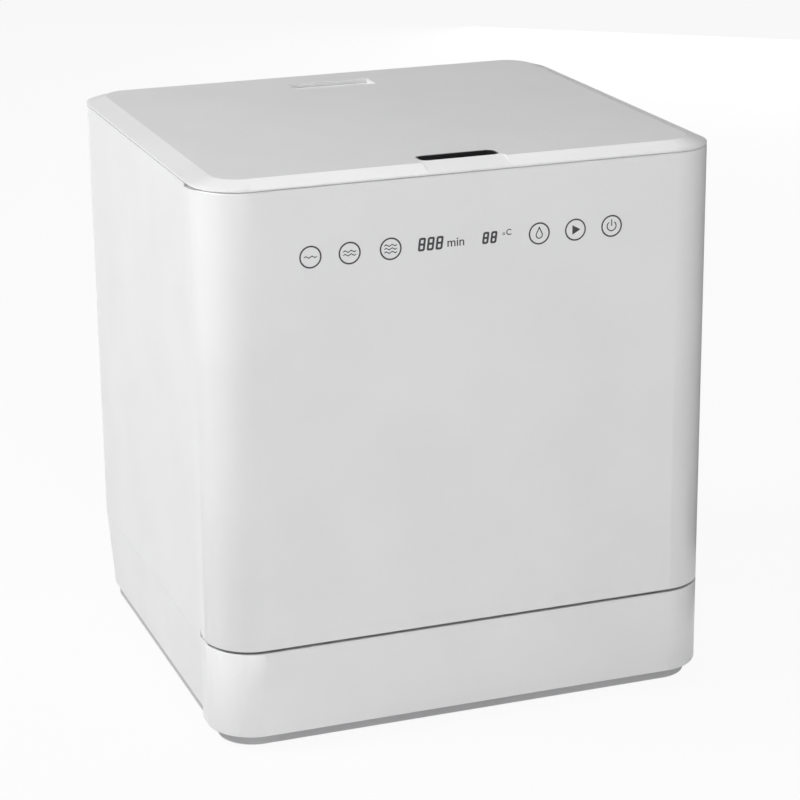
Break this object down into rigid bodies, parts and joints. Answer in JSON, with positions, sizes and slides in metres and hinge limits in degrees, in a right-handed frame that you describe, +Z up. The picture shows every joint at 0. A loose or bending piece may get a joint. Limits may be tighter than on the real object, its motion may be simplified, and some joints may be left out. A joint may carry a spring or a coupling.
{
  "type": "countertop dishwasher",
  "caption": "Compact white countertop dishwasher with a drop-down front door, a wire rack on rollers, a sliding cutlery tray, turning spray arms and a water tank with a flap",
  "frame": {"origin": "On the worktop, under the middle of the machine", "axes": "X to the right seen from the front, Y from the door to the back, Z up"},
  "size_m": [0.42, 0.39, 0.455],
  "materials": {
    "white_plastic": "smooth, slightly glossy white",
    "panel_white": "smooth white coating",
    "frame_grey": "satin light grey",
    "tray_grey": "matt grey moulding",
    "rubber_dark": "matt black rubber",
    "seal_grey": "matt grey rubber",
    "stainless": "brushed stainless steel",
    "heater_steel": "dull steel tube",
    "grey_plastic": "matt grey moulding",
    "basket_grey": "matt light grey moulding",
    "wire_coating": "grey nylon coating on wire",
    "black_plastic": "matt black moulding",
    "pump_black": "dark grey moulding",
    "valve_white": "matt white moulding",
    "spigot_grey": "matt grey moulding",
    "tank_clear": "milky translucent moulding",
    "board_green": "green circuit board",
    "dispenser_grey": "satin light grey moulding",
    "lid_grey": "satin grey moulding",
    "cap_blue": "matt blue moulding"
  },
  "bodies": {
    "cabinet": {"base_front_panel": "white_plastic", "top_cover": "white_plastic", "fill_funnel": "white_plastic", "base_side_left": "panel_white", "base_side_right": "panel_white", "base_rear_panel": "panel_white", "side_panel_left": "panel_white", "side_panel_right": "panel_white", "rear_panel": "panel_white", "tub_front_frame": "frame_grey", "base_tray": "tray_grey", "rubber_feet": "rubber_dark", "drain_hose": "rubber_dark", "door_seal": "seal_grey", "tub": "stainless", "lower_rails": "stainless", "filter_plate": "stainless", "hinge_brackets": "stainless", "hinge_pins": "stainless", "latch_pin": "stainless", "panel_screws": "stainless", "heater_element": "heater_steel", "upper_rails": "grey_plastic", "sump": "grey_plastic", "filter_cup": "grey_plastic", "spray_hub": "grey_plastic", "upper_feed_pipe": "grey_plastic", "latch_cup": "black_plastic", "mains_gland": "black_plastic", "wash_pump": "pump_black", "drain_pump": "pump_black", "inlet_valve": "valve_white", "drain_spigot": "spigot_grey", "water_tank": "tank_clear", "power_board": "board_green"},
    "door": {"door_shell": "white_plastic", "door_inner_panel": "stainless", "door_hinge_arms": "stainless", "touch_board": "board_green", "display_module": "black_plastic", "dispenser_body": "dispenser_grey", "latch_striker": "stainless", "liner_screws": "stainless"},
    "release_lever": {"release_lever": "black_plastic", "lever_spring": "stainless"},
    "lower_rack": {"lower_rack": "wire_coating", "rack_cross_wires": "wire_coating", "rack_rims": "wire_coating", "cutlery_basket": "basket_grey"},
    "dispenser_lid": {"dispenser_lid": "lid_grey"},
    "rinse_cap": {"rinse_cap": "cap_blue"},
    "fill_lid": {"fill_lid": "white_plastic"},
    "cup_shelf": {"cup_shelf": "grey_plastic"},
    "upper_tray": {"upper_tray": "basket_grey"},
    "lower_spray_arm": {"lower_spray_arm": "grey_plastic"},
    "upper_spray_arm": {"upper_spray_arm": "grey_plastic"},
    "roller_front_left": {"roller_front_left": "grey_plastic"},
    "roller_front_right": {"roller_front_right": "grey_plastic"},
    "roller_rear_left": {"roller_rear_left": "grey_plastic"},
    "roller_rear_right": {"roller_rear_right": "grey_plastic"}
  },
  "joints": [
    {"name": "door_hinge", "type": "hinge", "parent": "cabinet", "child": "door", "pos_m": [0, -0.188, 0.096], "axis": [1, 0, 0], "range_deg": [0, 90]},
    {"name": "lower_rack_slide", "type": "slide", "parent": "cabinet", "child": "lower_rack", "axis": [0, -1, 0], "range_m": [0, 0.126]},
    {"name": "upper_tray_slide", "type": "slide", "parent": "cabinet", "child": "upper_tray", "axis": [0, -1, 0], "range_m": [0, 0.252]},
    {"name": "release_lever_pivot", "type": "hinge", "parent": "cabinet", "child": "release_lever", "pos_m": [0, -0.1658, 0.4328], "axis": [1, 0, 0], "range_deg": [0, 14], "stiffness_Nm_per_rad": 0.2, "springref_deg": -8.59},
    {"name": "fill_lid_hinge", "type": "hinge", "parent": "cabinet", "child": "fill_lid", "pos_m": [0, 0.1434, 0.4505], "axis": [-1, 0, 0], "range_deg": [0, 100]},
    {"name": "dispenser_lid_slide", "type": "slide", "parent": "door", "child": "dispenser_lid", "axis": [0, 0, 1], "range_m": [0, 0.044]},
    {"name": "rinse_cap_turn", "type": "hinge", "parent": "door", "child": "rinse_cap", "pos_m": [0.031, -0.143, 0.228], "axis": [0, 1, 0], "range_deg": [0, 90]},
    {"name": "cup_shelf_fold", "type": "hinge", "parent": "lower_rack", "child": "cup_shelf", "pos_m": [-0.1551, -0.003, 0.2252], "axis": [0, -1, 0], "range_deg": [0, 85]},
    {"name": "lower_spray_turn", "type": "hinge", "parent": "cabinet", "child": "lower_spray_arm", "pos_m": [0, -0.0053, 0.1285], "axis": [0, 0, 1], "continuous": true},
    {"name": "upper_spray_turn", "type": "hinge", "parent": "cabinet", "child": "upper_spray_arm", "pos_m": [0, -0.0053, 0.396], "axis": [0, 0, 1], "continuous": true},
    {"name": "roller_front_left_spin", "type": "hinge", "parent": "lower_rack", "child": "roller_front_left", "pos_m": [-0.1615, -0.058, 0.1499], "axis": [1, 0, 0], "range_deg": [0, 730]},
    {"name": "roller_front_right_spin", "type": "hinge", "parent": "lower_rack", "child": "roller_front_right", "pos_m": [0.1615, -0.058, 0.1499], "axis": [1, 0, 0], "range_deg": [0, 730]},
    {"name": "roller_rear_left_spin", "type": "hinge", "parent": "lower_rack", "child": "roller_rear_left", "pos_m": [-0.1615, 0.0787, 0.1499], "axis": [1, 0, 0], "range_deg": [0, 730]},
    {"name": "roller_rear_right_spin", "type": "hinge", "parent": "lower_rack", "child": "roller_rear_right", "pos_m": [0.1615, 0.0787, 0.1499], "axis": [1, 0, 0], "range_deg": [0, 730]}
  ],
  "couplings": [
    {"joint": "lower_rack_slide", "follows": "door_hinge", "m_per_rad": 0.08},
    {"joint": "upper_tray_slide", "follows": "door_hinge", "m_per_rad": 0.16},
    {"joint": "roller_front_left_spin", "follows": "door_hinge", "ratio": 8},
    {"joint": "roller_front_right_spin", "follows": "door_hinge", "ratio": 8},
    {"joint": "roller_rear_left_spin", "follows": "door_hinge", "ratio": 8},
    {"joint": "roller_rear_right_spin", "follows": "door_hinge", "ratio": 8}
  ]
}
